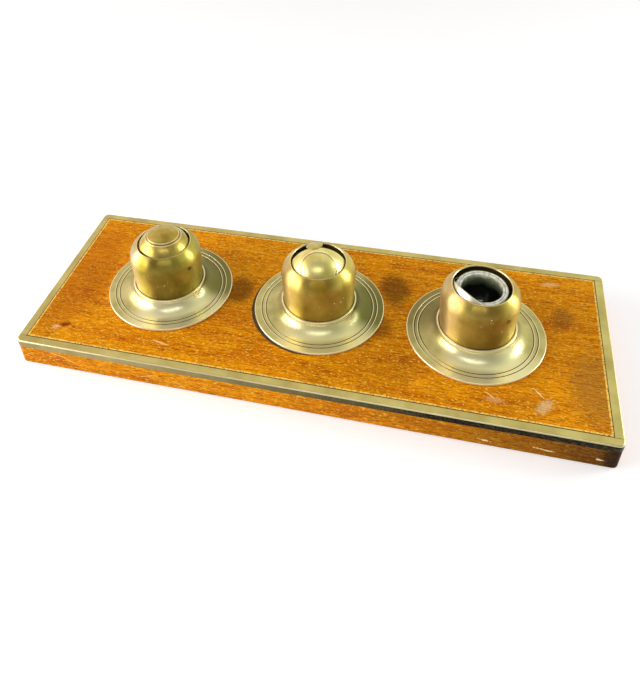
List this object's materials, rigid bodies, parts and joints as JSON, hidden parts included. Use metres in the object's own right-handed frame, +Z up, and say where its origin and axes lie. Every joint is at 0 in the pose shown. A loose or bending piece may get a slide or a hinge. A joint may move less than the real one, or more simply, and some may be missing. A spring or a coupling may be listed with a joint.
{
  "type": "desk inkstand",
  "caption": "Brass-edged wooden desk board with drop-in round brass inkwells, each a bell with a spherical lid that rolls open on side pivots round a glazed pot.",
  "frame": {"origin": "centre of the underside of the baize, on the table", "axes": "+X along the board, +Y towards its rear, +Z up"},
  "size_m": [0.3604, 0.1344, 0.0682],
  "materials": {
    "mahogany": "worn french polish",
    "baize": "felted wool baize",
    "edging_brass": "worn polish, lightly tarnished",
    "boxwood": "inlaid line under polish",
    "leather": "thin hide, dark and worn",
    "pale_brass": "turned, polished, pale",
    "warm_brass": "spun, polished, coppery tarnish",
    "inner_brass": "unpolished",
    "glazed_pot": "clear gloss glaze, ink-stained inside"
  },
  "bodies": {
    "root": {"board": "mahogany", "baize_pad": "baize", "edging_front": "edging_brass", "edging_rear": "edging_brass", "edging_left": "edging_brass", "edging_right": "edging_brass", "stringing_front": "boxwood", "stringing_rear": "boxwood", "stringing_left": "boxwood", "stringing_right": "boxwood", "seat_washer_left": "leather", "seat_washer_middle": "leather", "seat_washer_right": "leather"},
    "well_left": {"flange_left": "pale_brass", "cup_left": "inner_brass", "bell_left": "warm_brass", "pivot_pins_left": "inner_brass", "spacers_left": "inner_brass", "pot_left": "glazed_pot"},
    "lid_left": {"lid_left": "pale_brass"},
    "well_middle": {"flange_middle": "pale_brass", "cup_middle": "inner_brass", "bell_middle": "warm_brass", "pivot_pins_middle": "inner_brass", "spacers_middle": "inner_brass", "pot_middle": "glazed_pot"},
    "lid_middle": {"lid_middle": "pale_brass", "thumb_pad": "pale_brass"},
    "well_right": {"flange_right": "pale_brass", "cup_right": "inner_brass", "bell_right": "warm_brass", "pivot_pins_right": "inner_brass", "spacers_right": "inner_brass", "pot_right": "glazed_pot"},
    "lid_right": {"lid_right": "pale_brass"}
  },
  "joints": [
    {"name": "lift_left", "type": "slide", "parent": "root", "child": "well_left", "axis": [0, 0, 1], "range_m": [0, 0.03]},
    {"name": "lift_middle", "type": "slide", "parent": "root", "child": "well_middle", "axis": [0, 0, 1], "range_m": [0, 0.03]},
    {"name": "lift_right", "type": "slide", "parent": "root", "child": "well_right", "axis": [0, 0, 1], "range_m": [0, 0.03]},
    {"name": "lid_roll_left", "type": "hinge", "parent": "well_left", "child": "lid_left", "pos_m": [-0.0997, 0, 0.0488], "axis": [0.891, -0.454, 0], "range_deg": [0, 100]},
    {"name": "lid_roll_middle", "type": "hinge", "parent": "well_middle", "child": "lid_middle", "pos_m": [0.0025, 0.0014, 0.0488], "axis": [0.9781, 0.2079, 0], "range_deg": [-43, 57]},
    {"name": "lid_roll_right", "type": "hinge", "parent": "well_right", "child": "lid_right", "pos_m": [0.1009, -0.0008, 0.0488], "axis": [0.7071, -0.7071, 0], "range_deg": [-99, 1]}
  ]
}
